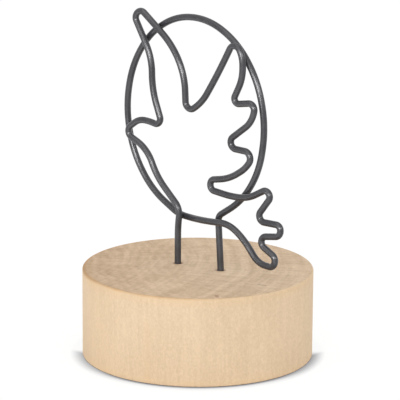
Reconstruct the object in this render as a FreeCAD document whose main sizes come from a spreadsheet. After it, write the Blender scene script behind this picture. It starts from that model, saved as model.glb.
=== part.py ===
import FreeCAD, Part
import math
import os
import Sketcher

# Wooden photo block holder
# A turned round of pale wood stands on its flat base. One steel wire rises from a drilled hole in
# its top, draws the outline of a flying dove, passes behind itself, sweeps round a tall oval and
# comes down into a second hole. A print slips in between the dove in front and the oval behind.
# Millimetres. The origin is the centre of the base, X runs along the wire figure from its left leg
# to its right leg, the dove faces -Y, and Z is up.

doc = FreeCAD.newDocument("photo_block_holder")

# Driving dimensions
DIMENSIONS = [
    ("block_diameter", 76.2, "across the turned round"),
    ("block_height", 29.2, "base to end-grain top"),
    ("edge_round", 0.6, "softened rims of the round"),
    ("wire_diameter", 2.1, "painted steel wire"),
    ("hole_clearance", 0.5, "hole across, over the wire"),
    ("hole_depth", 13.0, "drilled down from the top"),
    ("end_gap", 0.6, "glue under the end of a leg"),
    ("glue_recess", 0.4, "glue stands this far below the top"),
    ("leg_spacing", 16.2, "left leg to right leg, centres"),
    ("leg_height", 16.0, "top of the block to the foot of the oval"),
    ("slot_width", 0.55, "room for the print between dove and oval"),
    ("slot_set_back", 0.6, "middle of the print slot behind the middle of the block"),
    ("oval_width", 58.2, "centre line of the oval, side to side"),
    ("oval_height", 66.7, "centre line of the oval, foot to crown"),
    ("oval_shift", 3.5, "middle of the oval left of the middle of the block"),
    ("bend_radius", 2.0, "centre line of an ordinary tight bend"),
]
NAMES = [name for name, value, note in DIMENSIONS]

sheet = doc.addObject("Spreadsheet::Sheet", "driving_dimensions")
for row, (name, value, note) in enumerate(DIMENSIONS, start=1):
    sheet.set("A%d" % row, name)
    sheet.set("B%d" % row, str(value))
    sheet.set("C%d" % row, note)
    sheet.setAlias("B%d" % row, name)
doc.recompute()


def size(name):
    """A driving dimension as a plain number."""
    return float(sheet.get(name))


def bind(obj, prop, rule):
    """Ties a property to a rule, whose words are parted by spaces, in the driving dimensions."""
    words = ["driving_dimensions." + word if word in NAMES else word for word in rule.split()]
    obj.setExpression(prop, " ".join(words))


# Places that several pieces share, as rules for the objects and as numbers for the wire's route
LEFT_LEG = "- leg_spacing / 2"
RIGHT_LEG = "leg_spacing / 2"
FRONT_ROW = "slot_set_back - ( slot_width + wire_diameter ) / 2"
BACK_ROW = "slot_set_back + ( slot_width + wire_diameter ) / 2"
HOLE_FLOOR = "block_height - hole_depth"
LEG_END = "block_height - hole_depth + end_gap"

left_leg_x = -size("leg_spacing") / 2
right_leg_x = size("leg_spacing") / 2
front_y = size("slot_set_back") - (size("slot_width") + size("wire_diameter")) / 2
back_y = size("slot_set_back") + (size("slot_width") + size("wire_diameter")) / 2
leg_end_z = size("block_height") - size("hole_depth") + size("end_gap")


# Round of wood, turned from its half section and drilled for the legs
FULL_TURN = 360
DRILL_POINT_ANGLE = 118


def origin_plane(body, role):
    """One of a body's own origin planes."""
    return [plane for plane in body.Origin.OriginFeatures if plane.Role == role][0]


def add_sized_constraint(sketch, constraint, name, rule):
    """Adds a constraint under a name and ties its value to the driving dimensions."""
    index = sketch.addConstraint(constraint)
    sketch.renameConstraint(index, name)
    bind(sketch, "Constraints." + name, rule)


def half_section_sketch(body):
    """The rectangle right of the axis that the lathe turns into the round."""
    sketch = body.newObject("Sketcher::SketchObject", "half_section")
    sketch.AttachmentSupport = [(origin_plane(body, "XZ_Plane"), "")]
    sketch.MapMode = "FlatFace"
    radius = size("block_diameter") / 2
    height = size("block_height")
    corners = [(0, 0), (radius, 0), (radius, height), (0, height)]
    points = [FreeCAD.Vector(across, up, 0) for across, up in corners]
    for side, start in enumerate(points):
        sketch.addGeometry(Part.LineSegment(start, points[(side + 1) % len(points)]))
    for side in range(len(points)):
        after = (side + 1) % len(points)
        sketch.addConstraint(Sketcher.Constraint("Coincident", side, 2, after, 1))
    base, rim, top, axis = range(len(points))
    sketch.addConstraint(Sketcher.Constraint("Horizontal", base))
    sketch.addConstraint(Sketcher.Constraint("Vertical", rim))
    sketch.addConstraint(Sketcher.Constraint("Horizontal", top))
    sketch.addConstraint(Sketcher.Constraint("Vertical", axis))
    sketch.addConstraint(Sketcher.Constraint("Coincident", base, 1, -1, 1))
    across = Sketcher.Constraint("Distance", base, radius)
    add_sized_constraint(sketch, across, "radius", "block_diameter / 2")
    upright = Sketcher.Constraint("Distance", rim, height)
    add_sized_constraint(sketch, upright, "height", "block_height")
    return sketch


def hole_sketch(body):
    """Two circles on the top, one for each leg."""
    sketch = body.newObject("Sketcher::SketchObject", "hole_places")
    sketch.AttachmentSupport = [(origin_plane(body, "XY_Plane"), "")]
    sketch.MapMode = "FlatFace"
    bind(sketch, "AttachmentOffset.Base.z", "block_height")
    radius = (size("wire_diameter") + size("hole_clearance")) / 2
    upward = FreeCAD.Vector(0, 0, 1)
    places = [
        ("left", left_leg_x, front_y, LEFT_LEG, FRONT_ROW),
        ("right", right_leg_x, back_y, RIGHT_LEG, BACK_ROW),
    ]
    for side, x, y, x_rule, y_rule in places:
        hole = sketch.addGeometry(Part.Circle(FreeCAD.Vector(x, y, 0), upward, radius))
        along = Sketcher.Constraint("DistanceX", -1, 1, hole, 3, x)
        add_sized_constraint(sketch, along, side + "_x", x_rule)
        back = Sketcher.Constraint("DistanceY", -1, 1, hole, 3, y)
        add_sized_constraint(sketch, back, side + "_y", y_rule)
        round_size = Sketcher.Constraint("Radius", hole, radius)
        add_sized_constraint(sketch, round_size, side + "_r", "( wire_diameter + hole_clearance ) / 2")
    return sketch


def rim_names(shape):
    """Names of the round's two outer rims."""
    rim_length = math.pi * size("block_diameter")
    found = []
    for number, edge in enumerate(shape.Edges, start=1):
        if abs(edge.Length - rim_length) < size("edge_round"):
            found.append("Edge%d" % number)
    return found


def wood_block():
    """The turned round with softened rims and two blind holes."""
    body = doc.addObject("PartDesign::Body", "wood_block")
    section = half_section_sketch(body)
    turned = body.newObject("PartDesign::Revolution", "turned_round")
    turned.Profile = section
    turned.ReferenceAxis = (section, ["V_Axis"])
    turned.Angle = FULL_TURN
    doc.recompute()

    softened = body.newObject("PartDesign::Fillet", "softened_rims")
    softened.Base = (turned, rim_names(turned.Shape))
    bind(softened, "Radius", "edge_round")
    doc.recompute()

    places = hole_sketch(body)
    doc.recompute()
    holes = body.newObject("PartDesign::Hole", "leg_holes")
    holes.Profile = places
    holes.DepthType = "Dimension"
    holes.DrillPoint = "Angled"
    holes.DrillPointAngle = DRILL_POINT_ANGLE
    bind(holes, "Diameter", "wire_diameter + hole_clearance")
    bind(holes, "Depth", "hole_depth")
    body.Tip = holes
    doc.recompute()
    for step in (turned, softened, holes):
        print("%s: %.1f mm3" % (step.Label, step.Shape.Volume))
    return body


# Route of the wire
# The figure hangs on the oval. A corner stands at a share of the oval's half width from its middle,
# and at a level share that is 1 at the crown of the oval, -1 at its foot and -2 on the block's top.
# The third share is the corner's radius in ordinary tight bends, or SWEEPING where the wire turns
# as gently as the straight runs beside it let it.
SWEEPING = 0

CHEST_SHARES = [
    (-0.477, -0.639, SWEEPING),
    (-0.623, -0.377, SWEEPING),
]
HEAD_SHARES = [
    (-0.985, -0.242, 1.10),
    (-0.745, -0.091, SWEEPING),
    (-0.585, -0.091, SWEEPING),
    (-0.390, -0.127, 0.95),
]
FIRST_WING_SHARES = [
    (-0.550, 0.235, SWEEPING),
    (-0.556, 0.553, SWEEPING),
    (-0.819, 0.942, 1.10),
    (-0.720, 1.020, 1.10),
    (-0.312, 0.754, SWEEPING),
    (-0.163, 0.592, SWEEPING),
    (-0.068, 0.388, SWEEPING),
    (-0.048, 0.054, 1.10),
]
SECOND_WING_SHARES = [
    (0.185, 0.190, SWEEPING),
    (0.420, 0.514, SWEEPING),
    (0.603, 0.803, 1.10),
    (0.697, 0.803, 1.10),
    (0.763, 0.703, SWEEPING),
    (0.764, 0.495, SWEEPING),
    (0.608, 0.228, 0.80),
    (0.952, 0.281, 1.00),
    (0.905, 0.088, SWEEPING),
    (0.470, -0.202, 1.05),
    (0.953, -0.212, 1.15),
    (0.817, -0.382, SWEEPING),
    (0.585, -0.514, SWEEPING),
    (0.316, -0.559, 0.92),
    (0.316, -0.661, 0.92),
    (0.620, -0.686, SWEEPING),
    (0.860, -0.670, SWEEPING),
]
TAIL_SHARES = [
    (1.117, -0.546, 0.90),
    (1.182, -0.614, 0.90),
    (0.951, -0.877, 1.00),
    (1.325, -0.872, 0.85),
    (1.318, -0.984, 1.10),
    (0.915, -1.088, 1.00),
    (1.252, -1.417, 1.00),
    (1.244, -1.645, 1.05),
    (1.015, -1.622, 3.60),
    (0.805, -1.181, SWEEPING),
]
BELLY_FRONT_SHARES = [
    (0.587, -0.965, SWEEPING),
    (0.250, -0.987, SWEEPING),
]
BELLY_BACK_SHARES = [
    (-0.040, -1.025, SWEEPING),
]
HEEL_SHARES = [
    (0.703, -0.734, SWEEPING),
]

# A leg's corners are set sideways from its hole, again in shares of the oval's half width
LEFT_LEG_SHARES = [
    (0.000, -1.208, SWEEPING),
    (0.028, -0.920, 2.70),
]
RIGHT_LEG_SHARES = [
    (-0.040, -0.935, 1.40),
    (0.000, -1.940, 3.00),
]

# The oval runs clockwise from its foot, round its crown, towards the heel
OVAL_START_ANGLE = 270
OVAL_END_ANGLE = -36
OVAL_CORNERS = 12


def level(share):
    """Height of a level share, which follows the legs below the oval's foot and the oval above."""
    foot = size("block_height") + size("leg_height")
    rise = size("leg_height") if share < -1 else size("oval_height") / 2
    return foot + (share + 1) * rise


def figure_corners(table, row_y):
    """Corners of the figure on the dove's row or the oval's, each with its bend radius."""
    corners = []
    for across, up, bend in table:
        x = across * size("oval_width") / 2 - size("oval_shift")
        corners.append((FreeCAD.Vector(x, row_y, level(up)), bend * size("bend_radius")))
    return corners


def leg_corners(table, leg_x, row_y):
    """Corners of a leg, each with its bend radius."""
    corners = []
    for sideways, up, bend in table:
        x = leg_x + sideways * size("oval_width") / 2
        corners.append((FreeCAD.Vector(x, row_y, level(up)), bend * size("bend_radius")))
    return corners


def oval_shares():
    """Corners of the even polygon whose sides touch the oval, for its arcs to lie in."""
    step = math.radians(OVAL_START_ANGLE - OVAL_END_ANGLE) / OVAL_CORNERS
    reach = 1 / math.cos(step / 2)
    table = []
    for index in range(OVAL_CORNERS):
        angle = math.radians(OVAL_START_ANGLE) - (index + 0.5) * step
        table.append((reach * math.cos(angle), reach * math.sin(angle), SWEEPING))
    return table


def oval_corners(row_y):
    """The oval's corners. The first lies just under the foot, and still follows the oval."""
    middle = size("block_height") + size("leg_height") + size("oval_height") / 2
    corners = []
    for across, up, bend in oval_shares():
        x = across * size("oval_width") / 2 - size("oval_shift")
        z = middle + up * size("oval_height") / 2
        corners.append((FreeCAD.Vector(x, row_y, z), bend * size("bend_radius")))
    return corners


def wire_corners():
    """Every corner of the wire, from the end of its left leg to the end of its right leg."""
    dove = CHEST_SHARES + HEAD_SHARES + FIRST_WING_SHARES + SECOND_WING_SHARES + TAIL_SHARES
    corners = [(FreeCAD.Vector(left_leg_x, front_y, leg_end_z), SWEEPING)]
    corners += leg_corners(LEFT_LEG_SHARES, left_leg_x, front_y)
    corners += figure_corners(dove + BELLY_FRONT_SHARES, front_y)
    corners += figure_corners(BELLY_BACK_SHARES, back_y)
    corners += oval_corners(back_y)
    corners += figure_corners(HEEL_SHARES, back_y)
    corners += leg_corners(RIGHT_LEG_SHARES, right_leg_x, back_y)
    corners.append((FreeCAD.Vector(right_leg_x, back_y, leg_end_z), SWEEPING))
    return corners


# The bends of one run together take up at most this share of it, and the rest stays straight
BENDS_SHARE = 0.98


def bend_reaches(points, radii, half_turns):
    """How far each bend reaches along its two runs."""
    last = len(points) - 1
    runs = [(points[i + 1] - points[i]).Length for i in range(last)]
    wanted = [radii[i] * math.tan(half_turns[i]) for i in range(last + 1)]
    fits = []
    for i, run in enumerate(runs):
        total = wanted[i] + wanted[i + 1]
        fits.append(min(1, BENDS_SHARE * run / total) if total > 0 else 1)
    reaches = [0] + [wanted[i] * min(fits[i - 1], fits[i]) for i in range(1, last)] + [0]
    sweeping = [0 < i < last and radii[i] == SWEEPING for i in range(last + 1)]
    for i in range(1, last):
        if sweeping[i]:
            rooms = []
            for run, beside in ((runs[i - 1], i - 1), (runs[i], i + 1)):
                room = BENDS_SHARE * run
                rooms.append(room / 2 if sweeping[beside] else room - reaches[beside])
            reaches[i] = min(rooms)
    return reaches


def wire_route():
    """The centre line of the wire: straight runs joined by tangent arcs."""
    corners = wire_corners()
    points = [point for point, radius in corners]
    radii = [radius for point, radius in corners]
    last = len(points) - 1
    ways = [(points[i + 1] - points[i]).normalize() for i in range(last)]
    half_turns = [0] + [ways[i - 1].getAngle(ways[i]) / 2 for i in range(1, last)] + [0]
    reaches = bend_reaches(points, radii, half_turns)
    edges = []
    bends = []
    here = points[0]
    for i in range(1, last):
        start = points[i] - ways[i - 1] * reaches[i]
        end = points[i] + ways[i] * reaches[i]
        radius = reaches[i] / math.tan(half_turns[i])
        inward = (ways[i] - ways[i - 1]).normalize()
        middle = points[i] + inward * (radius / math.cos(half_turns[i]) - radius)
        edges.append(Part.LineSegment(here, start).toShape())
        edges.append(Part.Arc(start, middle, end).toShape())
        bends.append(radius)
        here = end
    edges.append(Part.LineSegment(here, points[last]).toShape())
    print("bend radii of the wire: " + ", ".join("%.1f" % radius for radius in bends))
    return Part.Wire(edges)


def bent_wire():
    """The wire: its round section swept along the route."""
    route = doc.addObject("Part::Feature", "wire_route")
    route.Shape = wire_route()
    section = doc.addObject("Part::Circle", "wire_section")
    bind(section, "Radius", "wire_diameter / 2")
    bind(section, "Placement.Base.x", LEFT_LEG)
    bind(section, "Placement.Base.y", FRONT_ROW)
    bind(section, "Placement.Base.z", LEG_END)
    wire = doc.addObject("Part::Sweep", "bent_wire")
    wire.Sections = [section]
    wire.Spine = (route, ["Edge%d" % (number + 1) for number in range(len(route.Shape.Edges))])
    wire.Solid = True
    wire.Frenet = False
    doc.recompute()
    expected = math.pi * size("wire_diameter") ** 2 / 4 * route.Shape.Length
    print("wire: %.1f mm long, %.1f mm3, section times length %.1f mm3" % (
        route.Shape.Length, wire.Shape.Volume, expected))
    return wire


def glue_plug(name, x_rule, y_rule):
    """Cured glue that fills a hole round the wire and under its end."""
    filling = doc.addObject("Part::Cylinder", name + "_filling")
    bind(filling, "Radius", "( wire_diameter + hole_clearance ) / 2")
    bind(filling, "Height", "hole_depth - glue_recess")
    bind(filling, "Placement.Base.z", HOLE_FLOOR)
    leg = doc.addObject("Part::Cylinder", name + "_leg_room")
    bind(leg, "Radius", "wire_diameter / 2")
    bind(leg, "Height", "hole_depth")
    bind(leg, "Placement.Base.z", LEG_END)
    for cylinder in (filling, leg):
        bind(cylinder, "Placement.Base.x", x_rule)
        bind(cylinder, "Placement.Base.y", y_rule)
    plug = doc.addObject("Part::Cut", name)
    plug.Base = filling
    plug.Tool = leg
    return plug


pieces = [
    wood_block(),
    bent_wire(),
    glue_plug("glue_left", LEFT_LEG, FRONT_ROW),
    glue_plug("glue_right", RIGHT_LEG, BACK_ROW),
]
doc.recompute()

# Checks before anything is written
for obj in doc.Objects:
    if "Invalid" in obj.State or "Error" in obj.State:
        raise RuntimeError("%s failed: %s" % (obj.Label, obj.State))
for piece in pieces:
    if piece.Shape.isNull() or not piece.Shape.isValid() or len(piece.Shape.Solids) != 1:
        raise RuntimeError(piece.Label + " isn't one valid solid")

os.makedirs("parts", exist_ok=True)
for piece in pieces:
    piece.Shape.exportStep("parts/%s.step" % piece.Label)
    box = piece.Shape.optimalBoundingBox()
    print("%s: %.1f mm3, X %.1f to %.1f, Y %.1f to %.1f, Z %.1f to %.1f" % (
        piece.Label, piece.Shape.Volume, box.XMin, box.XMax, box.YMin, box.YMax, box.ZMin, box.ZMax))
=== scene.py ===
# %% [markdown]
# # A photo block: a turned wood round with a dove bent from wire
#
# The real object is a small desk stand. One wire rises from a wooden round, draws a
# flying dove, crosses behind it and draws a tall oval, and goes down into the wood
# again. A print stands in the slot between the dove in front and the oval behind.
#
# The CAD model fixes where everything is. This lesson loads it, and then makes three
# finer pieces over it: the wire, the round, and the two plugs of glue in its holes.
# Two trees of Geometry Nodes do the shaping, because both main pieces follow a rule:
# a wire is a line with rounded bends, and turned wood is a profile spun round an axis.

import math

import bpy
from mathutils import Matrix, Vector


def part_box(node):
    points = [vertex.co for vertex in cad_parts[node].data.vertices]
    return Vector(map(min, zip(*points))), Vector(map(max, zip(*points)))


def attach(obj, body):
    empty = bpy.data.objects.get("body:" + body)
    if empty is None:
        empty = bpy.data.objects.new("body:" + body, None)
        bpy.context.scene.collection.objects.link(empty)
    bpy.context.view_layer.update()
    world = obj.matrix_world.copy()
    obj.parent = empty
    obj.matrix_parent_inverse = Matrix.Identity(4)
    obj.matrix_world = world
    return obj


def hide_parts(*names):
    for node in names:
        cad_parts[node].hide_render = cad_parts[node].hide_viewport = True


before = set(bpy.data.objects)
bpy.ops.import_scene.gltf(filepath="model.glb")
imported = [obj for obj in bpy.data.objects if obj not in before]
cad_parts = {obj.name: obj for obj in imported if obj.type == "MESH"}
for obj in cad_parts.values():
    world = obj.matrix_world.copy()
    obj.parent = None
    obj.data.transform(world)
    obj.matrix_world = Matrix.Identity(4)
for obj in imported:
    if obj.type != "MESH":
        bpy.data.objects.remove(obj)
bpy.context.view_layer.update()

# %% [markdown]
# ## The maker's measures
#
# Blender works in metres here, and a maker thinks of such a thing in millimetres, so
# the measures are written in millimetres and turned into metres in one place.
# The two legs don't stand in line: the left leg starts the front row of wire, which
# draws the dove, and the right leg ends the back row, which draws the oval.

# %% Measures of the round, the wire and its holes, in millimetres
MM = 0.001
ROUND_RADIUS = 38.1
ROUND_HEIGHT = 29.2
EDGE_ROUND = 0.6
FOOT_ROUND = 0.35
WIRE_RADIUS = 1.05
PAINT_COAT = 0.05
HOLE_RADIUS = 1.3
HOLE_DEPTH = 13.0
WIRE_END = 16.8
FRONT_ROW = -0.725
BACK_ROW = 1.925
LEFT_LEG = (-8.10, FRONT_ROW)
RIGHT_LEG = (8.10, BACK_ROW)


def metres(*lengths):
    """A point in metres from its lengths in millimetres."""
    return Vector([length * MM for length in lengths])


block_low, block_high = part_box("wood_block")
print("round in the CAD, mm:", [round(v / MM, 2) for v in (*block_low, *block_high)])

# %% [markdown]
# ## A bench for nodes
#
# Shaders and Geometry Nodes are both trees of nodes. Built in Python, a tree of any
# size soon gets hard to read, because every sum takes several lines. The small class
# Value wraps one socket and overloads the signs + - * / and **, so that a sum of
# sockets is written as a sum, and the Math nodes appear by themselves. Every other
# node comes from one method, which takes its type, its settings and its inputs.


# %% Value: a socket that can stand in a sum
class Value:
    """One output socket. Arithmetic with it adds Math nodes to its tree."""

    def __init__(self, bench, socket):
        self.bench = bench
        self.socket = socket

    def out(self, name):
        """Another output of the same node."""
        return Value(self.bench, find_socket(self.socket.node.outputs, name))

    def maths(self, operation, *terms):
        return self.bench.node("ShaderNodeMath", {"operation": operation}, dict(enumerate(terms)))

    def __add__(self, term):
        return self.maths("ADD", self, term)

    def __radd__(self, term):
        return self.maths("ADD", term, self)

    def __sub__(self, term):
        return self.maths("SUBTRACT", self, term)

    def __rsub__(self, term):
        return self.maths("SUBTRACT", term, self)

    def __mul__(self, term):
        return self.maths("MULTIPLY", self, term)

    def __rmul__(self, term):
        return self.maths("MULTIPLY", term, self)

    def __truediv__(self, term):
        return self.maths("DIVIDE", self, term)

    def __pow__(self, term):
        return self.maths("POWER", self, term)

    def most(self, term):
        """The larger of the two."""
        return self.maths("MAXIMUM", self, term)

    def least(self, term):
        """The smaller of the two."""
        return self.maths("MINIMUM", self, term)

    def size(self):
        """The same number without its sign."""
        return self.maths("ABSOLUTE", self)

    def rise(self, start, end):
        """Nought before start, one after end, and a soft slope between them."""
        return self.bench.node(
            "ShaderNodeMapRange",
            {"interpolation_type": "SMOOTHSTEP"},
            {"Value": self, "From Min": start, "From Max": end},
        )


print("Value ready: + - * / ** and a few named sums")


# %% Bench: a tree, and the one method that adds a node to it
def find_socket(sockets, name):
    """A socket by its place, or the shown one of that name."""
    if isinstance(name, int):
        return sockets[name]
    return next(s for s in sockets if s.name == name and s.enabled)


def set_stops(ramp, stops):
    """Give a ramp its stops, which are pairs of place and grey."""
    while len(ramp.elements) > 1:
        ramp.elements.remove(ramp.elements[-1])
    for number, (place, grey) in enumerate(stops):
        stop = ramp.elements[0] if number == 0 else ramp.elements.new(place)
        stop.position = place
        stop.color = (grey, grey, grey, 1)


class Bench:
    """A node tree of any kind."""

    def __init__(self, tree):
        self.tree = tree

    def node(self, kind, settings=None, inputs=None):
        """Add a node: settings first, then values or links for its inputs."""
        made = self.tree.nodes.new(kind)
        for name, setting in (settings or {}).items():
            if name == "stops":
                set_stops(made.color_ramp, setting)
            else:
                setattr(made, name, setting)
        for name, given in (inputs or {}).items():
            socket = find_socket(made.inputs, name)
            if isinstance(given, Value):
                self.tree.links.new(given.socket, socket)
            elif given is not None:
                socket.default_value = given
        shown = [s for s in made.outputs if s.enabled]
        return Value(self, shown[0]) if shown else None

    def vector(self, operation, first, second):
        """Vector Math on two vectors."""
        settings = {"operation": operation}
        return self.node("ShaderNodeVectorMath", settings, {0: first, 1: second})

    def mix(self, share, first, second, blend="MIX"):
        """Mix two colours by a share."""
        settings = {"data_type": "RGBA", "blend_type": blend}
        return self.node("ShaderNodeMix", settings, {"Factor": share, "A": first, "B": second})


print("bench ready: Value for sums, Bench.node for any node")

# %% [markdown]
# ## The camera
#
# The camera stands where the photographer's did. Its place, aim, roll and lens were
# fitted to the outlines of the round's top and base. A long lens far away keeps the
# object almost free of perspective, as in the photograph. Blender looks along minus Z
# of the camera, so its matrix has the columns right, up and backwards.

# %% Place the camera
CAMERA_PLACE = Vector((0.55248, -0.65842, 0.26814))
CAMERA_AIM = Vector((0.000417, 0.000350, 0.051965))
CAMERA_ROLL = -0.006392
CAMERA_LENS = 243.35
CAMERA_SENSOR = 36.0


def aim(thing, place, target, roll=0.0):
    """Turn a camera or a lamp at place towards target."""
    ahead = (target - place).normalized()
    right = Matrix.Rotation(roll, 3, ahead) @ ahead.cross(Vector((0, 0, 1))).normalized()
    above = right.cross(ahead)
    turn = Matrix((right, above, -ahead)).transposed().to_4x4()
    thing.matrix_world = Matrix.Translation(place) @ turn


lens = bpy.data.cameras.new("camera")
lens.lens = CAMERA_LENS
lens.sensor_width = CAMERA_SENSOR
lens.clip_end = 20.0
camera = bpy.data.objects.new("camera", lens)
bpy.context.collection.objects.link(camera)
aim(camera, CAMERA_PLACE, CAMERA_AIM, CAMERA_ROLL)
bpy.context.scene.camera = camera
print("camera", round((CAMERA_PLACE - CAMERA_AIM).length, 3), "m from what it looks at")

# %% [markdown]
# ## From corners to a shape
#
# Both shaping trees start from the same thing: a line through a few corners, each
# with the radius that the bend there has. It could be a curve object, but a mesh of
# points and edges carries a named attribute more simply, and Geometry Nodes turns it
# into a curve. Once the tree has run, its result is kept as a plain mesh and the
# modifier is taken off, so that the finished piece is only a mesh at the origin.


# %% Helpers that build a shaping tree and run it
def shaping_tree(name, measures):
    """A Geometry Nodes tree with named inputs. Gives its bench and its group input."""
    tree = bpy.data.node_groups.new(name, "GeometryNodeTree")
    tree.interface.new_socket(name="Line", in_out="INPUT", socket_type="NodeSocketGeometry")
    for label, kind in measures.items():
        tree.interface.new_socket(name=label, in_out="INPUT", socket_type=kind)
    tree.interface.new_socket(name="Piece", in_out="OUTPUT", socket_type="NodeSocketGeometry")
    bench = Bench(tree)
    return bench, bench.node("NodeGroupInput")


print("a tree takes a line and gives a piece")


# %% Helpers that draw a line and run a tree on it
def line_through(name, corners):
    """An object that is a bare line. A corner is a point in millimetres and a bend radius."""
    line = bpy.data.meshes.new(name)
    places = [metres(*place) for place, _ in corners]
    line.from_pydata(places, [(i, i + 1) for i in range(len(places) - 1)], [])
    radii = line.attributes.new("bend_radius", "FLOAT", "POINT")
    radii.data.foreach_set("value", [radius * MM for _, radius in corners])
    piece = bpy.data.objects.new(name, line)
    bpy.context.collection.objects.link(piece)
    return piece


def run_tree(piece, bench, measures):
    """Run a shaping tree on a piece, and keep the result as its plain mesh."""
    shaping = piece.modifiers.new("shaping", "NODES")
    shaping.node_group = bench.tree
    for item in bench.tree.interface.items_tree:
        if item.in_out == "INPUT" and item.name in measures:
            shaping[item.identifier] = measures[item.name]
    ready = piece.evaluated_get(bpy.context.evaluated_depsgraph_get())
    mesh = bpy.data.meshes.new_from_object(ready)
    piece.modifiers.remove(shaping)
    piece.data = mesh
    mesh.name = piece.name
    print(piece.name, len(mesh.vertices), "points", len(mesh.polygons), "faces")


print("helpers ready: line_through, run_tree")


# %% [markdown]
# ## The wire's line
#
# The wire was bent on a jig, so its line is straight runs and arcs. Writing down the
# corners that the runs would meet at, and how round the bend is at each, is the
# shortest true description of it. A gentle bend, where the wire was only coaxed round,
# has no radius of its own: it is as large as its two runs allow.
#
# The corners are pairs of x and z, because each row of wire lies in its own upright
# plane: the front row until the wire has passed under the dove, and the back row after.

# %% The corners of the front row: left leg, dove, belly
GENTLE = None
STRAIGHT = 0.0
left_leg = [(-8.10, WIRE_END, STRAIGHT), (-8.10, 41.87, 46.23), (-7.29, 47.87, 5.40)]
chest = [(-17.38, 57.24, GENTLE), (-21.63, 65.98, GENTLE)]
head = [
    (-32.16, 70.48, 2.20), (-25.18, 75.52, GENTLE), (-20.52, 75.52, 20.86),
    (-14.85, 74.31, 1.90),
]
first_wing = [
    (-19.51, 86.39, GENTLE), (-19.68, 96.99, GENTLE), (-27.33, 109.97, 2.20),
    (-24.45, 112.57, 2.20), (-12.58, 103.70, GENTLE), (-8.24, 98.29, GENTLE),
    (-5.48, 91.49, GENTLE), (-4.90, 80.35, 2.20),
]
second_wing = [
    (1.88, 84.89, 19.49), (8.72, 95.69, 210.68), (14.05, 105.33, 2.20),
    (16.78, 105.33, 2.20), (18.70, 102.00, 9.43), (18.73, 95.06, GENTLE),
    (14.19, 86.15, 1.60), (24.20, 87.92, 2.00), (22.84, 81.48, 9.41),
    (10.18, 71.81, 2.10), (24.23, 71.48, 2.30), (20.27, 65.81, 12.83),
    (13.52, 61.41, 20.08), (5.70, 59.91, 1.84), (5.70, 56.51, 1.84),
    (14.54, 55.67, GENTLE), (21.53, 56.21, GENTLE),
]
tail = [
    (29.00, 60.34, 1.78), (30.90, 58.07, 1.78), (24.17, 49.30, 2.00),
    (35.06, 49.47, 1.70), (34.85, 45.73, 2.20), (23.13, 43.79, 2.00),
    (32.93, 38.53, 2.00), (32.70, 34.88, 2.10), (26.04, 35.25, 7.20),
    (19.93, 42.30, GENTLE),
]
belly_front = [(13.58, 46.37, GENTLE), (3.78, 45.63, GENTLE)]
front_row = left_leg + chest + head + first_wing + second_wing + tail + belly_front
print("front row has", len(front_row), "corners")

# %% The corners of the back row: end of the belly, oval, heel, right leg
belly_back = [(-4.66, 44.80, GENTLE)]
OVAL_CENTRE = (-3.50, 78.55)
OVAL_HALF_WIDTH = 29.10
OVAL_HALF_HEIGHT = 33.35
OVAL_START = math.radians(270)
OVAL_TURN = math.radians(306)
OVAL_BENDS = 12
oval_step = OVAL_TURN / OVAL_BENDS
oval_reach = 1 / math.cos(oval_step / 2)
oval = []
for bend in range(OVAL_BENDS):
    angle = OVAL_START - oval_step * (bend + 0.5)
    oval.append((
        OVAL_CENTRE[0] + OVAL_HALF_WIDTH * oval_reach * math.cos(angle),
        OVAL_CENTRE[1] + OVAL_HALF_HEIGHT * oval_reach * math.sin(angle),
        GENTLE,
    ))
heel = [(16.96, 54.07, 30.13)]
right_leg = [(6.94, 47.37, 2.80), (8.10, 30.16, 6.00), (8.10, WIRE_END, STRAIGHT)]
back_row = belly_back + oval + heel + right_leg
print("back row has", len(back_row), "corners")

# %% Put the rows together, and work out the gentle bends
GENTLE_SHARE = 0.49


def gentle_radius(before, corner, after):
    """The radius that uses almost half of the shorter run at a corner."""
    turn = (corner - before).angle(after - corner)
    shorter = min((corner - before).length, (after - corner).length)
    return GENTLE_SHARE * shorter / math.tan(turn / 2)


wire_places = [Vector((x, FRONT_ROW, z)) for x, z, _ in front_row]
wire_places += [Vector((x, BACK_ROW, z)) for x, z, _ in back_row]
wire_corners = []
for number, (_, _, radius) in enumerate(front_row + back_row):
    if radius is GENTLE:
        radius = gentle_radius(*wire_places[number - 1:number + 2])
    wire_corners.append((wire_places[number], radius))
runs = sum((b - a).length for a, b in zip(wire_places, wire_places[1:]))
print("wire:", len(wire_corners), "corners, runs of", round(runs), "mm in all")

# %% [markdown]
# ## The wire's paint
#
# The wire is steel with charcoal paint. Under soft light the paint looks almost flat,
# and only where the wire lies square to the line between eye and lamp does it throw a
# short bright glint with a haze round it. Two layers do that: the paint itself gives
# the wide haze, and a thin smooth coat over it gives the glint. The paint isn't quite
# even. It is mottled, its coat is thicker in some places than in others, and its skin
# waves a little, as paint does that was dipped and hung to dry.
#
# All of it could come from a picture wrapped along the wire, but noise in Object space
# needs no wrapping, has no seam and is the same at every bend.


# %% Helpers for a finish
def new_finish(name):
    """A material with an empty tree, and the bench to build it on."""
    material = bpy.data.materials.new(name)
    material.use_nodes = True
    material.node_tree.nodes.clear()
    return material, Bench(material.node_tree)


def coordinates(bench, kind):
    """Texture coordinates of a kind, such as Object."""
    return bench.node("ShaderNodeTexCoord").out(kind)


def noise(bench, place, per_mm, detail, stretch=1.0):
    """Soft noise from nought to one with so many humps in a millimetre of Object space."""
    squeezed = bench.vector("MULTIPLY", place, (1, 1, 1 / stretch)) if stretch != 1 else place
    inputs = {"Vector": squeezed, "Scale": per_mm / MM, "Detail": detail}
    return bench.node("ShaderNodeTexNoise", None, inputs)


def bump(bench, height, depth):
    """A normal from a height of nought to one that stands for so many millimetres."""
    return bench.node("ShaderNodeBump", None, {"Height": height, "Distance": depth * MM})


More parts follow.
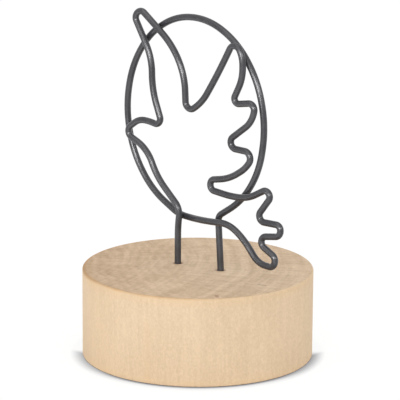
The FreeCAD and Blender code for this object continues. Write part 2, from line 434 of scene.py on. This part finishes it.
def finish_surface(bench, inputs):
    """End a finish in a Principled shader and the material's output."""
    shader = bench.node("ShaderNodeBsdfPrincipled", None, inputs)
    bench.node("ShaderNodeOutputMaterial", None, {"Surface": shader})
    print("finish with", len(bench.tree.nodes), "nodes")


print("helpers ready: new_finish, coordinates, noise, bump, finish_surface")

# %% Satin charcoal paint
PAINT_DARK = (0.036, 0.036, 0.042, 1)
PAINT_PALE = (0.050, 0.050, 0.057, 1)
PAINT_WAVE_DEPTH = 0.003
wire_paint, paint = new_finish("satin charcoal paint")
on_wire = coordinates(paint, "Object")
mottle = noise(paint, on_wire, 0.30, 3.0)
thickness = noise(paint, on_wire, 0.06, 1.0)
waves = noise(paint, on_wire, 0.35, 1.0)
finish_surface(paint, {
    "Base Color": paint.mix(mottle.rise(0.35, 0.70), PAINT_DARK, PAINT_PALE),
    "Roughness": 0.30 + 0.12 * mottle,
    "Specular IOR Level": 0.16,
    "Coat Weight": 0.34 + 0.20 * thickness.rise(0.35, 0.60),
    "Coat Roughness": 0.21,
    "Normal": bump(paint, waves, PAINT_WAVE_DEPTH),
})

# %% [markdown]
# ## Bend and sweep the wire
#
# Fillet Curve rounds each corner by the radius that it carries, which is what the
# pins of a bending jig do. Resample Curve then sets rings at an even distance, and
# Curve to Mesh sweeps a circle along them. Drawn wire is never perfectly even, so a
# slow one-dimensional noise makes it swell and thin by one part in a hundred.


# %% Helpers for a line with rounded corners, and for the end of a tree
def rounded_line(bench, given, arc_points):
    """The tree's line as a curve, with each corner rounded by the radius it carries."""
    curve = bench.node("GeometryNodeMeshToCurve", None, {"Mesh": given.out("Line")})
    radius = bench.node(
        "GeometryNodeInputNamedAttribute", {"data_type": "FLOAT"}, {"Name": "bend_radius"}
    )
    return bench.node("GeometryNodeFilletCurve", {"mode": "POLY"}, {
        "Curve": curve, "Count": arc_points, "Radius": radius, "Limit Radius": False,
    })


def end_tree(bench, given, shape):
    """End a shaping tree: make its shape real and give it its finish."""
    real = bench.node("GeometryNodeRealizeInstances", None, {"Geometry": shape})
    dressed = bench.node(
        "GeometryNodeSetMaterial", None, {"Geometry": real, "Material": given.out("Finish")}
    )
    bench.node("NodeGroupOutput", None, {"Piece": dressed})
    print("tree", bench.tree.name, "has", len(bench.tree.nodes), "nodes")


print("helpers ready: rounded_line, end_tree")

# %% The tree that bends and sweeps
ARC_POINTS = 40
SWELLS_PER_MM = 0.08
wire_tree, wire_given = shaping_tree("bend and sweep a wire", {
    "Wire Radius": "NodeSocketFloat",
    "Ring Distance": "NodeSocketFloat",
    "Sides": "NodeSocketInt",
    "Unevenness": "NodeSocketFloat",
    "Finish": "NodeSocketMaterial",
})
bent = rounded_line(wire_tree, wire_given, ARC_POINTS)
evened = wire_tree.node(
    "GeometryNodeResampleCurve",
    {"mode": "LENGTH"},
    {"Curve": bent, "Length": wire_given.out("Ring Distance")},
)
along = wire_tree.node("GeometryNodeSplineParameter").out("Length")
drawn = wire_tree.node(
    "ShaderNodeTexNoise", {"noise_dimensions": "1D"}, {"W": along / MM, "Scale": SWELLS_PER_MM}
)
swept = wire_tree.node("GeometryNodeCurveToMesh", None, {
    "Curve": evened,
    "Profile Curve": wire_tree.node("GeometryNodeCurvePrimitiveCircle", {"mode": "RADIUS"}, {
        "Resolution": wire_given.out("Sides"), "Radius": wire_given.out("Wire Radius"),
    }),
    "Scale": 1 + wire_given.out("Unevenness") * (drawn - 0.5) * 2,
    "Fill Caps": True,
})
end_tree(wire_tree, wire_given, wire_tree.node(
    "GeometryNodeSetShadeSmooth", None, {"Geometry": swept}
))

# %% Make the wire
wire = line_through("dove_and_oval_wire", wire_corners)
run_tree(wire, wire_tree, {
    "Wire Radius": (WIRE_RADIUS + PAINT_COAT) * MM,
    "Ring Distance": 0.32 * MM,
    "Sides": 28,
    "Unevenness": 0.01,
    "Finish": wire_paint,
})

# %% [markdown]
# ## The wood
#
# The round was turned from a pale, close-grained hardwood with the grain upright, so
# its top is end grain: there the yearly rings show as wide, faint arcs round a pith
# that lies outside the disc. On the side the same rings come out as soft upright
# bands with fine fibres along them. One solid pattern through the whole block gives
# both at once, and it meets itself at the rim as real wood does. A picture wrapped
# over the block couldn't do that.

# %% Where the rings lie, in millimetres from the pith
PITH = (-61.3, -35.8)
RING_REACH = 130.0
RING_HALF_WIDTH = 1.7
RING_FULL_DARK = 7.0
inner_rings = [(37.7, 2.7), (41.1, 1.5), (51.3, 1.0), (61.0, 0.9), (68.5, 1.7), (76.1, 3.6)]
outer_rings = [(83.3, 4.1), (88.9, 6.3), (93.5, 3.5), (98.1, 3.2), (105.0, 2.7)]


def ring_stops(rings):
    """Stops of a ramp that is nought between the rings and dark at each."""
    stops = [(0.0, 0.0)]
    for radius, dark in rings:
        stops.append(((radius - RING_HALF_WIDTH) / RING_REACH, 0.0))
        stops.append((radius / RING_REACH, dark / RING_FULL_DARK))
        stops.append(((radius + RING_HALF_WIDTH) / RING_REACH, 0.0))
    return stops


print("rings:", len(inner_rings) + len(outer_rings))

# %% [markdown]
# ## Directions in the wood
#
# Wood has three directions of its own: out from the pith, round it, and up the grain.
# Noise that is drawn out along one of them makes a fibre, a ray or a fleck, so one
# helper gives noise measured along all three. The rings themselves waver a little.


# %% Helpers for places
def parts_of(bench, vector):
    """The three parts of a vector in turn."""
    split = bench.node("ShaderNodeSeparateXYZ", None, {"Vector": vector})
    return [split.out(axis) for axis in "XYZ"]


def distance_from(x, y, centre):
    """How far a place lies from an upright line."""
    return ((x - centre[0]) ** 2 + (y - centre[1]) ** 2) ** 0.5


def level_reach(x, y, way):
    """How far a place lies along a level direction."""
    return x * way[0] + y * way[1]


print("helpers ready: parts_of, distance_from, level_reach")

# %% Out from the pith, round it, and up the grain
RING_WAVER = 5.0
sanded_wood, wood = new_finish("fine sanded pale wood")
in_wood = coordinates(wood, "Object")
wood_x, wood_y, wood_z = (part / MM for part in parts_of(wood, in_wood))
waver = (noise(wood, in_wood, 0.035, 1.0, stretch=4.0) - 0.5) * RING_WAVER
outward = distance_from(wood_x, wood_y, PITH) + waver
angle_round = wood_y.maths("ARCTAN2", wood_y - PITH[1], wood_x - PITH[0])
around = angle_round * math.hypot(*PITH)


def grain(out_per_mm, round_per_mm, up_per_mm, detail=2.0, roughness=0.5):
    """Noise drawn out along the wood's own directions: humps per millimetre each way."""
    place = wood.node("ShaderNodeCombineXYZ", None, {
        "X": outward * out_per_mm, "Y": around * round_per_mm, "Z": wood_z * up_per_mm,
    })
    inputs = {"Vector": place, "Scale": 1.0, "Detail": detail, "Roughness": roughness}
    return wood.node("ShaderNodeTexNoise", None, inputs) - 0.5


# The top and the underside look straight along the grain, the side looks across it.
normal_up = parts_of(wood, wood.node("ShaderNodeNewGeometry").out("Normal"))[2]
end_grain = (normal_up * normal_up).rise(0.55, 0.95)
side_grain = 1 - end_grain
print("wood directions ready,", len(wood.tree.nodes), "nodes so far")

# %% [markdown]
# ## Rings, rays, fibres and saw marks
#
# Each kind of line in the wood is one grain: the faint rings within a year, the rays
# that run out from the pith, the fibres up the side, and flecks, pores and clouds that
# take the evenness out of it. The saw that cut the bar left shallow arcs across one
# half of the top, and fine sanding has almost taken them away.
#
# The photograph looks at the stand from 40 degrees to one side. What lies at one place
# in the picture is laid out along the picture's own level directions, to the right and
# to the back.

# %% The lines and flecks
ring_dark = 0
for some_rings in (inner_rings, outer_rings):
    ring_dark = ring_dark + wood.node(
        "ShaderNodeValToRGB", {"stops": ring_stops(some_rings)}, {"Fac": outward / RING_REACH}
    )
fine_rings = grain(0.55, 0.05, 0.012, 3.0, 0.6)
rays = grain(0.12, 0.75, 0.05, 3.0, 0.6)
speckle = grain(1.0, 1.0, 0.55, 2.0, 0.6)
pores = grain(2.1, 2.1, 1.3, 1.0)
fibres = grain(0.9, 0.9, 0.05, 2.0)
patches = grain(0.10, 0.10, 0.06, 2.0)
cloud = grain(0.03, 0.03, 0.02, 1.0)
print("rings and seven grains:", len(wood.tree.nodes), "nodes so far")

# %% The saw's arcs on the left half of the top
TO_THE_RIGHT = (0.766, 0.643)
TO_THE_BACK = (-0.643, 0.766)
SAW_CENTRE = (51.0, 55.9)
SAW_SPACING = 3.3
SAW_WAVER = 6.0
rightward = level_reach(wood_x, wood_y, TO_THE_RIGHT)
backward = level_reach(wood_x, wood_y, TO_THE_BACK)
saw_reach = distance_from(wood_x, wood_y, SAW_CENTRE) + patches * SAW_WAVER
saw_turn = saw_reach * (2 * math.pi / SAW_SPACING)
saw_marks = saw_turn.maths("SINE", saw_turn) * (1 - rightward.rise(-14.0, 6.0))
print("saw marks:", len(wood.tree.nodes), "nodes so far")

# %% [markdown]
# ## The colour of clean wood
#
# Every grain adds a little to one tone, and the tone mixes a dark and a pale colour.
# The top drinks more finish than the side, so it is darker and greyer, and its lines
# stand out more.

# %% Clean wood, on the side and on the top
SIDE_DARK = (0.574, 0.419, 0.266, 1)
SIDE_PALE = (0.751, 0.578, 0.394, 1)
END_DARK = (0.538, 0.384, 0.243, 1)
END_PALE = (0.750, 0.572, 0.397, 1)
side_tone = (
    0.5 + pores * 0.8 + speckle * 0.55 + fibres * 0.5 + patches * 0.5 + cloud * 0.5
    - ring_dark * 0.10
)
end_tone = (
    0.5 + fine_rings * 1.5 + rays * 1.3 + speckle * 1.1 + patches * 0.8
    + saw_marks * 0.13 - ring_dark * 0.42
)
side_wood = wood.mix(side_tone, SIDE_DARK, SIDE_PALE)
end_wood = wood.mix(end_tone, END_DARK, END_PALE)
print("clean wood:", len(wood.tree.nodes), "nodes so far")

# %% [markdown]
# ## Warmer and darker places
#
# The side is warmer and a little darker under the top edge, at the foot, and in one
# thin line and one band on its left. The top is a shade darker towards its left, and a
# little towards its back. The rim of the top is stained brown, perhaps by the heat of
# turning or by hands, most of all at the far left and hardly at all at the right.

# %% A warm tint on the side, and a darker top
WARM_TINT = (0.690, 0.470, 0.250, 1)
DARKENED_TINT = (0.80, 0.745, 0.69, 1)
SAP_LINE_AT = -16.1
in_front = 1 - backward.rise(-1.0, 1.0)
under_top = wood_z.rise(25.6, 28.4)
at_foot = 1 - wood_z.rise(0.4, 3.4)
sap_line = (1 - (rightward - SAP_LINE_AT).size().rise(0.2, 1.6)) * (1 - wood_z.rise(13.0, 23.0))
sap_band = rightward.rise(-37.0, -34.0) * (1 - rightward.rise(-31.0, -23.0))
# Warmer and a little darker under the top edge and at the foot, and along a line and a band on
# the left.
warmth = under_top * 0.24 + at_foot * 0.20 + (sap_line * 0.22 + sap_band * 0.11) * in_front
warm_side = wood.mix(warmth * (1 + patches * 2) * side_grain, side_wood, WARM_TINT)
# The top is darker towards its left, and a little towards its back.
darkened = (1 - rightward.rise(-38.0, 6.0)) * 0.8 + backward.rise(4.0, 36.0) * 0.12
darkened_top = wood.mix(darkened, end_wood, DARKENED_TINT, "MULTIPLY")
toned = wood.mix(end_grain, warm_side, darkened_top)
print("warm and aged wood:", len(wood.tree.nodes), "nodes so far")

# %% The stained rim
BROWN_RIM = (0.400, 0.215, 0.085, 1)
ORANGE_RIM = (0.600, 0.350, 0.150, 1)
TO_THE_STAIN = (-0.716, -0.698)
MOST_STAIN = 0.75
stainward = level_reach(wood_x, wood_y, TO_THE_STAIN)
at_rim = distance_from(wood_x, wood_y, (0.0, 0.0)).rise(36.5, 37.8) * wood_z.rise(28.2, 29.2)
far_left = stainward.rise(31.0, 39.0)
stain = at_rim * stainward.rise(-30.0, 24.0) * (0.50 + patches * 1.2) + far_left ** 2 * 0.30
stained = wood.mix(
    stain.least(MOST_STAIN).most(0.0) * wood_z.rise(27.6, 29.0),
    toned,
    wood.mix(far_left, ORANGE_RIM, BROWN_RIM),
)
print("stained wood:", len(wood.tree.nodes), "nodes so far")

# %% [markdown]
# ## Marks in the top
#
# Three small marks make this round the one in the photograph: a hairline check on the
# right, a pin knot at the front rim, and the brown rings where the end grain drank
# glue round the legs. A check and a knot are both a short streak, so one helper draws
# them, and they are kept off the side.


# %% Helpers for a streak and for soaked glue
def streak(start, end, half_width):
    """A mask of a short dark streak in the end grain, from start to end."""
    length = math.dist(start, end)
    way = ((end[0] - start[0]) / length, (end[1] - start[1]) / length)
    east, north = wood_x - start[0], wood_y - start[1]
    forth = level_reach(east, north, way)
    aside = level_reach(east, north, (-way[1], way[0])).size()
    inside = forth.rise(-0.3, 0.5) * (1 - forth.rise(length - 0.5, length + 0.3))
    return inside * (1 - aside.rise(half_width * 0.4, half_width))


def soaked(leg):
    """A mask of the glue that the end grain drank round a leg."""
    return 1 - distance_from(wood_x, wood_y, leg).rise(1.35, 2.2)


print("helpers ready: streak, soaked")

# %% Check, knot and soaked glue, and the finished wood
CHECK_BROWN = (0.230, 0.150, 0.100, 1)
KNOT_BROWN = (0.330, 0.170, 0.090, 1)
FIBRE_DEPTH = 0.03
check = streak((27.9, -3.3), (31.2, -2.7), 0.5)
knot = streak((25.7, -21.6), (28.1, -23.7), 0.8)
glue_soak = soaked(LEFT_LEG) + soaked(RIGHT_LEG)
checked = wood.mix(check * end_grain * 0.5, stained, CHECK_BROWN)
marked = wood.mix((knot * 0.62 + glue_soak * 0.6) * end_grain, checked, KNOT_BROWN)
finish_surface(wood, {
    "Base Color": marked,
    "Roughness": 0.62 + 0.20 * fibres,
    "Specular IOR Level": 0.2,
    "Normal": bump(wood, fibres * 0.6 + speckle * 0.4, FIBRE_DEPTH),
})

# %% [markdown]
# ## Turn the round and drill it
#
# A lathe spins a profile round an axis. Blender's Screw modifier does that too, but a
# tree shows the rule: a grid is laid out with one column for each step round the axis
# and one row for each point of the profile, and every point of the grid is moved to
# its place on the round. Merge by Distance then closes the seam and the two centres.
# Only edges that are really sharp, such as a hole's rim, keep a hard shade.
# The drilling is a second tree: a bit stands on each leg's place, and a Boolean takes
# both bits out of the wood.


# %% A helper for hard and soft edges
def soften(bench, shape, sharp_angle):
    """Smooth shading, except over edges sharper than an angle."""
    smooth = bench.node("GeometryNodeSetShadeSmooth", {"domain": "FACE"}, {"Geometry": shape})
    angle = bench.node("GeometryNodeInputMeshEdgeAngle").out("Unsigned Angle")
    return bench.node("GeometryNodeSetShadeSmooth", {"domain": "EDGE"}, {
        "Geometry": smooth,
        "Selection": angle.maths("GREATER_THAN", angle, sharp_angle),
        "Shade Smooth": False,
    })


SHARP_ANGLE = math.radians(30)
print("edges over", round(math.degrees(SHARP_ANGLE)), "degrees stay hard")

# %% The tree that turns
EDGE_POINTS = 8
MERGE_WITHIN = 0.0005
lathe_tree, lathe_given = shaping_tree("turn a profile on a lathe", {
    "Steps Round": "NodeSocketInt",
    "Centre": "NodeSocketVector",
    "Sharp Angle": "NodeSocketFloat",
    "Finish": "NodeSocketMaterial",
})
profile = rounded_line(lathe_tree, lathe_given, EDGE_POINTS)
profile_size = lathe_tree.node(
    "GeometryNodeAttributeDomainSize", {"component": "CURVE"}, {"Geometry": profile}
).out("Point Count")
columns = lathe_given.out("Steps Round") + 1
sheet = lathe_tree.node("GeometryNodeMeshGrid", None, {
    "Vertices X": columns, "Vertices Y": profile_size,
})
grid_index = lathe_tree.node("GeometryNodeInputIndex")
column = grid_index.maths("FLOOR", (grid_index + 0.5) / profile_size)
row = grid_index - column * profile_size
profile_point = lathe_tree.node(
    "GeometryNodeSampleIndex",
    {"data_type": "FLOAT_VECTOR", "domain": "POINT"},
    {"Geometry": profile, "Value": lathe_tree.node("GeometryNodeInputPosition"), "Index": row},
)
from_spindle, _, up_spindle = parts_of(lathe_tree, profile_point)
spin = column * (2 * math.pi) / lathe_given.out("Steps Round")
turned_place = lathe_tree.node("ShaderNodeCombineXYZ", None, {
    "X": from_spindle * spin.maths("COSINE", spin),
    "Y": from_spindle * spin.maths("SINE", spin),
    "Z": up_spindle,
})
spun = lathe_tree.node("GeometryNodeSetPosition", None, {
    "Geometry": sheet, "Position": turned_place, "Offset": lathe_given.out("Centre"),
})
closed = lathe_tree.node(
    "GeometryNodeMergeByDistance", None, {"Geometry": spun, "Distance": MERGE_WITHIN * MM}
)
end_tree(lathe_tree, lathe_given, soften(lathe_tree, closed, lathe_given.out("Sharp Angle")))

# %% The tree that drills
BIT_SIDES = 48
drill_tree, drill_given = shaping_tree("drill a hole for each leg", {
    "First Leg": "NodeSocketVector",
    "Second Leg": "NodeSocketVector",
    "Hole Radius": "NodeSocketFloat",
    "Hole Depth": "NodeSocketFloat",
    "Sharp Angle": "NodeSocketFloat",
    "Finish": "NodeSocketMaterial",
})
leg_places = drill_tree.node("GeometryNodeMeshLine", {"mode": "END_POINTS"}, {
    "Count": 2,
    "Start Location": drill_given.out("First Leg"),
    "Offset": drill_given.out("Second Leg"),
})
bit = drill_tree.node("GeometryNodeMeshCylinder", {"fill_type": "NGON"}, {
    "Vertices": BIT_SIDES,
    "Radius": drill_given.out("Hole Radius"),
    "Depth": drill_given.out("Hole Depth") * 2,
})
bits = drill_tree.node("GeometryNodeRealizeInstances", None, {
    "Geometry": drill_tree.node(
        "GeometryNodeInstanceOnPoints", None, {"Points": leg_places, "Instance": bit}
    ),
})
drilled = drill_tree.node(
    "GeometryNodeMeshBoolean",
    {"operation": "DIFFERENCE", "solver": "EXACT"},
    {"Mesh 1": drill_given.out("Line"), "Mesh 2": bits},
)
end_tree(drill_tree, drill_given, soften(drill_tree, drilled, drill_given.out("Sharp Angle")))

# %% Make the round
STEPS_ROUND = 256
EDGE_REACH = 1.0
side, top = ROUND_RADIUS, ROUND_HEIGHT
block_profile = [
    ((0, 0, 0), 0), ((side - EDGE_REACH, 0, 0), 0), ((side, 0, 0), FOOT_ROUND),
    ((side, 0, EDGE_REACH), 0), ((side, 0, top - EDGE_REACH), 0), ((side, 0, top), EDGE_ROUND),
    ((side - EDGE_REACH, 0, top), 0), ((0, 0, top), 0),
]
block = line_through("turned_round", block_profile)
run_tree(block, lathe_tree, {
    "Steps Round": STEPS_ROUND,
    "Centre": (0.0, 0.0, 0.0),
    "Sharp Angle": SHARP_ANGLE,
    "Finish": sanded_wood,
})
run_tree(block, drill_tree, {
    "First Leg": metres(*LEFT_LEG, top),
    "Second Leg": metres(*RIGHT_LEG, top),
    "Hole Radius": HOLE_RADIUS * MM,
    "Hole Depth": HOLE_DEPTH * MM,
    "Sharp Angle": SHARP_ANGLE,
    "Finish": sanded_wood,
})

# %% [markdown]
# ## Glue in the holes
#
# Each hole is a little wider than the wire, and dark glue fills the gap. Only a thin
# brown rim of it shows. Wet glue creeps up the wire a little before it sets, so the
# top of the plug is hollowed: high at the wire, low at the wood. The plug is turned
# by the same tree as the round, from a profile that also lines the hole's floor.

# %% Cured brown glue
GLUE_DARK = (0.075, 0.038, 0.020, 1)
GLUE_PALE = (0.190, 0.110, 0.060, 1)
GLUE_SKIN_DEPTH = 0.02
cured_glue, glue = new_finish("cured brown glue")
skin = noise(glue, coordinates(glue, "Object"), 3.0, 2.0)
finish_surface(glue, {
    "Base Color": glue.mix(skin.rise(0.35, 0.75), GLUE_DARK, GLUE_PALE),
    "Roughness": 0.38 + 0.20 * skin,
    "Normal": bump(glue, skin, GLUE_SKIN_DEPTH),
})

# %% Make the two plugs
PLUG_STEPS_ROUND = 48
hole_floor = top - HOLE_DEPTH
plug_profile = [
    ((0, 0, hole_floor), 0), ((HOLE_RADIUS, 0, hole_floor), 0),
    ((HOLE_RADIUS, 0, top - 0.38), 0), ((HOLE_RADIUS - 0.08, 0, top - 0.42), 0.05),
    ((WIRE_RADIUS + 0.09, 0, top - 0.40), 0.06), ((WIRE_RADIUS, 0, top - 0.20), 0),
    ((WIRE_RADIUS, 0, WIRE_END), 0), ((0, 0, WIRE_END), 0),
]
plugs = []
for which, place in (("left", LEFT_LEG), ("right", RIGHT_LEG)):
    plug = line_through("glue_plug_" + which, plug_profile)
    run_tree(plug, lathe_tree, {
        "Steps Round": PLUG_STEPS_ROUND,
        "Centre": metres(*place, 0),
        "Sharp Angle": SHARP_ANGLE,
        "Finish": cured_glue,
    })
    plugs.append(plug)

# %% [markdown]
# ## Tie the pieces to the CAD model
#
# Every piece rides on a body of the CAD model. This one has no joints, so its one
# body is the root. Each new piece stands for its CAD node, which is hidden.

# %% Ride and replace
for piece, node_name, slot in (
    (wire, "bent_wire", "wire_paint"),
    (block, "wood_block", "wood"),
    (plugs[0], "glue_left", "glue"),
    (plugs[1], "glue_right", "glue"),
):
    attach(piece, "root")
    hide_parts(node_name)
    print(piece.name, "stands for", node_name)

# %% [markdown]
# ## The table it stands on
#
# The photograph was taken on white, with only a narrow shadow where the round touches
# the table. The floor is plain, pale and matt, and it catches the object's own shadow.
# What the camera or a mirror sees of it is mostly lit from within, so that it comes
# out white, and that light fades where the round stands within a few millimetres. The
# Ambient Occlusion node gives the fade, because it measures the real round.
#
# In the photograph the shadow isn't the same all round. It is a thin hard line in
# front, where the table is brightest, a wide soft wedge at both sides, and it is gone
# behind the round's widest place. Two powers make the shadow narrow or wide, and one
# mask ends it.


# %% A helper that tells what the eye sees
def for_the_eye(bench):
    """One for a ray from the camera, from a mirror or through glass, or else nought."""
    path = bench.node("ShaderNodeLightPath")
    return path.out("Is Camera Ray").most(path.out("Is Glossy Ray")).most(
        path.out("Is Transmission Ray")
    )


print("helper ready: for_the_eye")

# %% Places on the floor, in the photograph's own directions
GLOW_SHARE = 0.88
GLOW_STRENGTH = 1.035
FLOOR_COLOUR = (0.84, 0.84, 0.84, 1)
SHADOW_BLUE = (0.0, 0.0, 0.018, 1)
WHITE = (1, 1, 1, 1)
floor_paint, ground = new_finish("pale floor")
floor_x, floor_y = (part / MM for part in parts_of(ground, coordinates(ground, "Object"))[:2])
floor_back = level_reach(floor_x, floor_y, TO_THE_BACK)
floor_right = level_reach(floor_x, floor_y, TO_THE_RIGHT)
at_front = 1 - floor_back.rise(-36.0, -18.0)
at_right = floor_right.rise(0.0, 30.0)
print("floor places ready,", len(ground.tree.nodes), "nodes")

# %% The shadow: wide and soft at the sides, thin and hard in front
WIDE_REACH = 4.6
NARROW_REACH = 1.9
SHADOW_END = (-7.0, 2.0)
BESIDE_THE_ROUND = (26.0, 38.2)
OPEN_TABLE = 0.97


def openness(reach):
    """How much of the sky a point of the floor sees within a reach in millimetres."""
    inputs = {"Distance": reach * MM}
    return ground.node("ShaderNodeAmbientOcclusion", {"samples": 16}, inputs).out("AO")


behind_widest = floor_back.rise(*SHADOW_END) * floor_right.size().rise(*BESIDE_THE_ROUND)
wide = openness(WIDE_REACH) ** (1.35 - at_front * 0.75 + at_right * (1 - at_front) * 0.45)
narrow = openness(NARROW_REACH) ** (at_front * 2.2)
lit = (wide * narrow).most(behind_widest * OPEN_TABLE)
print("shadow: reaches", WIDE_REACH, "and", NARROW_REACH, "mm")

# %% The floor
FLOOR_SIZE = 3.0
FLOOR_DROP = 0.02
glow = ground.node("ShaderNodeEmission", None, {
    "Color": ground.mix(lit, SHADOW_BLUE, WHITE), "Strength": GLOW_STRENGTH,
})
matt = ground.node("ShaderNodeBsdfDiffuse", None, {"Color": FLOOR_COLOUR})
ground.node("ShaderNodeOutputMaterial", None, {"Surface": ground.node(
    "ShaderNodeMixShader", None, {0: for_the_eye(ground) * GLOW_SHARE, 1: matt, 2: glow}
)})
half = FLOOR_SIZE / 2
floor_mesh = bpy.data.meshes.new("floor")
floor_mesh.from_pydata(
    [(-half, -half, 0), (half, -half, 0), (half, half, 0), (-half, half, 0)], [], [(0, 1, 2, 3)]
)
floor_mesh.materials.append(floor_paint)
floor = bpy.data.objects.new("floor", floor_mesh)
floor.location = metres(0, 0, -FLOOR_DROP)
bpy.context.collection.objects.link(floor)
print("floor", FLOOR_SIZE, "m wide")

# %% [markdown]
# ## The tent
#
# The photograph has the even light of a white tent, a little brighter near the horizon
# than overhead. The tent is the world: its light falls with height, and to the camera
# it is plain white.

# %% A white tent
TENT_OVERHEAD = 0.78
TENT_HORIZON = 1.45
tent = bpy.data.worlds.new("white tent")
tent.use_nodes = True
tent.node_tree.nodes.clear()
bpy.context.scene.world = tent
sky = Bench(tent.node_tree)
looked_at = for_the_eye(sky)
upward = parts_of(sky, coordinates(sky, "Generated"))[2].most(0.0)
light = TENT_HORIZON + upward * (TENT_OVERHEAD - TENT_HORIZON)
sky.node("ShaderNodeOutputWorld", None, {"Surface": sky.node("ShaderNodeBackground", None, {
    "Color": light * (1 - looked_at) + looked_at, "Strength": 1.0,
})})
print("tent from", TENT_HORIZON, "to", TENT_OVERHEAD)

# %% [markdown]
# ## The lamps
#
# One soft lamp near the camera lights the whole object. The others are what the paint
# of the wire mirrors in the photograph: a brighter spot in the same lamp, the two
# bright edges of the tent's opening, its roof, and the glow of the table in front.
# They are hidden from matt surfaces, so they put glints on the paint and leave the wood
# as it is. The place of each was read from the glints on the bends of the wire, since
# a bend mirrors every direction once. The glow lies on the table and shines up, so it
# is aimed by itself.


# %% A helper for a soft lamp
def new_lamp(name, shape, length, width, power, mirrored_only=True):
    """A soft lamp, length and width in metres, power in watts."""
    data = bpy.data.lights.new(name, "AREA")
    data.shape = shape
    data.size = length
    data.size_y = width
    data.energy = power
    made = bpy.data.objects.new(name, data)
    bpy.context.collection.objects.link(made)
    made.visible_diffuse = not mirrored_only
    made.visible_camera = not mirrored_only
    return made


LAMP_DISTANCE = 1.0
LAMP_MIDDLE = metres(0, 0, ROUND_HEIGHT)
print("lamps stand", LAMP_DISTANCE, "m from the middle of the round's top")

# %% The lamps that stand round the object
# Each has a name, shape, length, width and power, then its azimuth, height and tilt.
LAMPS = (
    ("softbox", "DISK", 0.21, 0.21, 1.8, 22, 10, 0),
    ("bulb", "DISK", 0.22, 0.22, 3.6, 17, 12.5, 0),
    ("left_card", "RECTANGLE", 1.20, 0.14, 5.2, 2, 9, -21),
    ("right_card", "RECTANGLE", 1.20, 0.14, 7.2, 58, 24.5, -5),
    ("upper_card", "RECTANGLE", 0.80, 1.20, 5.0, 10, 62, 0),
)
for name, shape, length, width, power, azimuth, height, tilt in LAMPS:
    lamp = new_lamp(name, shape, length, width, power, mirrored_only=name != "softbox")
    turned, raised = math.radians(azimuth), math.radians(height)
    level = Vector((math.sin(turned), -math.cos(turned), 0)) * math.cos(raised)
    way = level + Vector((0, 0, math.sin(raised)))
    aim(lamp, LAMP_MIDDLE + way * LAMP_DISTANCE, LAMP_MIDDLE, math.radians(tilt))
print(len(LAMPS), "lamps round the object")

# %% The glow of the table in front
GLOW_PLACE = Vector((0, -0.165, 0.002))
GLOW_TARGET = Vector((0, -0.170, 1))
table_glow = new_lamp("table_glow", "RECTANGLE", 0.30, 0.24, 0.26)
aim(table_glow, GLOW_PLACE, GLOW_TARGET)
print("table glow of", table_glow.data.energy, "W")

# %% [markdown]
# ## Leave the colours alone
#
# The view transform Standard shows a colour as it is written.

bpy.context.scene.view_settings.view_transform = "Standard"
